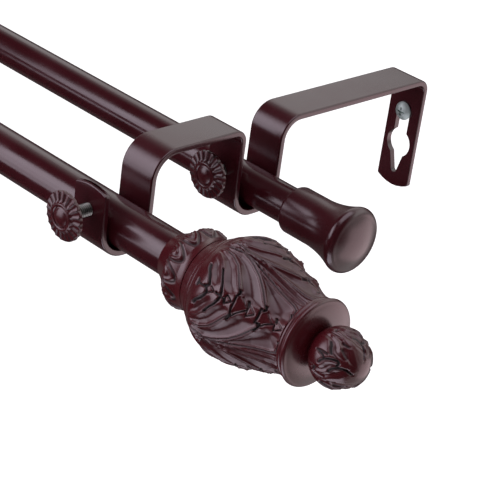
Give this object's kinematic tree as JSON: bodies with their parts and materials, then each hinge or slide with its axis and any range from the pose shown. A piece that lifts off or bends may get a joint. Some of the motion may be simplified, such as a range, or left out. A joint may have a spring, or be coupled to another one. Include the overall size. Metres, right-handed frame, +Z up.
{
  "type": "double curtain pole",
  "caption": "Telescoping double curtain pole: two round poles on bent-strap wall brackets with rosette thumbscrews, leaf-carved finials and flared end caps.",
  "frame": {"origin": "on the wall plane, at the middle of the right bracket's width and the height of the front pole's axis", "axes": "+X along the poles to the right, +Y into the wall, +Z up"},
  "size_m": [0.9262, 0.2373, 0.0632],
  "materials": {
    "painted_steel": "gloss mahogany lacquer",
    "painted_strap": "satin mahogany powder coat",
    "painted_casting": "gloss mahogany lacquer",
    "painted_resin": "gloss mahogany lacquer",
    "zinc_steel": "zinc plate",
    "plug_plastic": "moulded"
  },
  "bodies": {
    "right_end": {"bracket_right": "painted_strap", "wall_screw_right": "zinc_steel", "front_outer_tube": "painted_steel", "rear_outer_tube": "painted_steel", "finial_right": "painted_resin", "finial_stud_right": "zinc_steel", "finial_plug_right": "plug_plastic", "end_cap_right": "painted_resin"},
    "left_end": {"bracket_left": "painted_strap", "wall_screw_left": "zinc_steel", "front_inner_tube": "painted_steel", "rear_inner_tube": "painted_steel", "finial_left": "painted_resin", "finial_stud_left": "zinc_steel", "finial_plug_left": "plug_plastic", "end_cap_left": "painted_resin"},
    "front_right_shank": {"thumb_shank_front_right": "zinc_steel"},
    "front_right_knob": {"thumb_knob_front_right": "painted_casting"},
    "rear_right_shank": {"thumb_shank_rear_right": "zinc_steel"},
    "rear_right_knob": {"thumb_knob_rear_right": "painted_casting"},
    "front_left_shank": {"thumb_shank_front_left": "zinc_steel"},
    "front_left_knob": {"thumb_knob_front_left": "painted_casting"},
    "rear_left_shank": {"thumb_shank_rear_left": "zinc_steel"},
    "rear_left_knob": {"thumb_knob_rear_left": "painted_casting"}
  },
  "joints": [
    {"name": "extend", "type": "slide", "parent": "right_end", "child": "left_end", "axis": [-1, 0, 0], "range_m": [0, 0.508]},
    {"name": "front_right_travel", "type": "slide", "parent": "right_end", "child": "front_right_shank", "axis": [0, -1, 0], "range_m": [0, 0.005]},
    {"name": "front_right_turn", "type": "hinge", "parent": "front_right_shank", "child": "front_right_knob", "pos_m": [0, -0.2198, 0.0085], "axis": [0, -1, 0], "range_deg": [0, 1800]},
    {"name": "rear_right_travel", "type": "slide", "parent": "right_end", "child": "rear_right_shank", "axis": [0, -1, 0], "range_m": [0, 0.009]},
    {"name": "rear_right_turn", "type": "hinge", "parent": "rear_right_shank", "child": "rear_right_knob", "pos_m": [0, -0.1355, 0.0085], "axis": [0, -1, 0], "range_deg": [0, 3240]},
    {"name": "front_left_travel", "type": "slide", "parent": "left_end", "child": "front_left_shank", "axis": [0, -1, 0], "range_m": [0, 0.007]},
    {"name": "front_left_turn", "type": "hinge", "parent": "front_left_shank", "child": "front_left_knob", "pos_m": [-0.623, -0.2198, 0.0092], "axis": [0, -1, 0], "range_deg": [0, 2520]},
    {"name": "rear_left_travel", "type": "slide", "parent": "left_end", "child": "rear_left_shank", "axis": [0, -1, 0], "range_m": [0, 0.012]},
    {"name": "rear_left_turn", "type": "hinge", "parent": "rear_left_shank", "child": "rear_left_knob", "pos_m": [-0.623, -0.1355, 0.0092], "axis": [0, -1, 0], "range_deg": [0, 4320]}
  ],
  "couplings": [
    {"joint": "front_right_turn", "follows": "front_right_travel", "rad_per_m": 6283.2},
    {"joint": "rear_right_turn", "follows": "rear_right_travel", "rad_per_m": 6283.2},
    {"joint": "front_left_turn", "follows": "front_left_travel", "rad_per_m": 6283.2},
    {"joint": "rear_left_turn", "follows": "rear_left_travel", "rad_per_m": 6283.2}
  ]
}
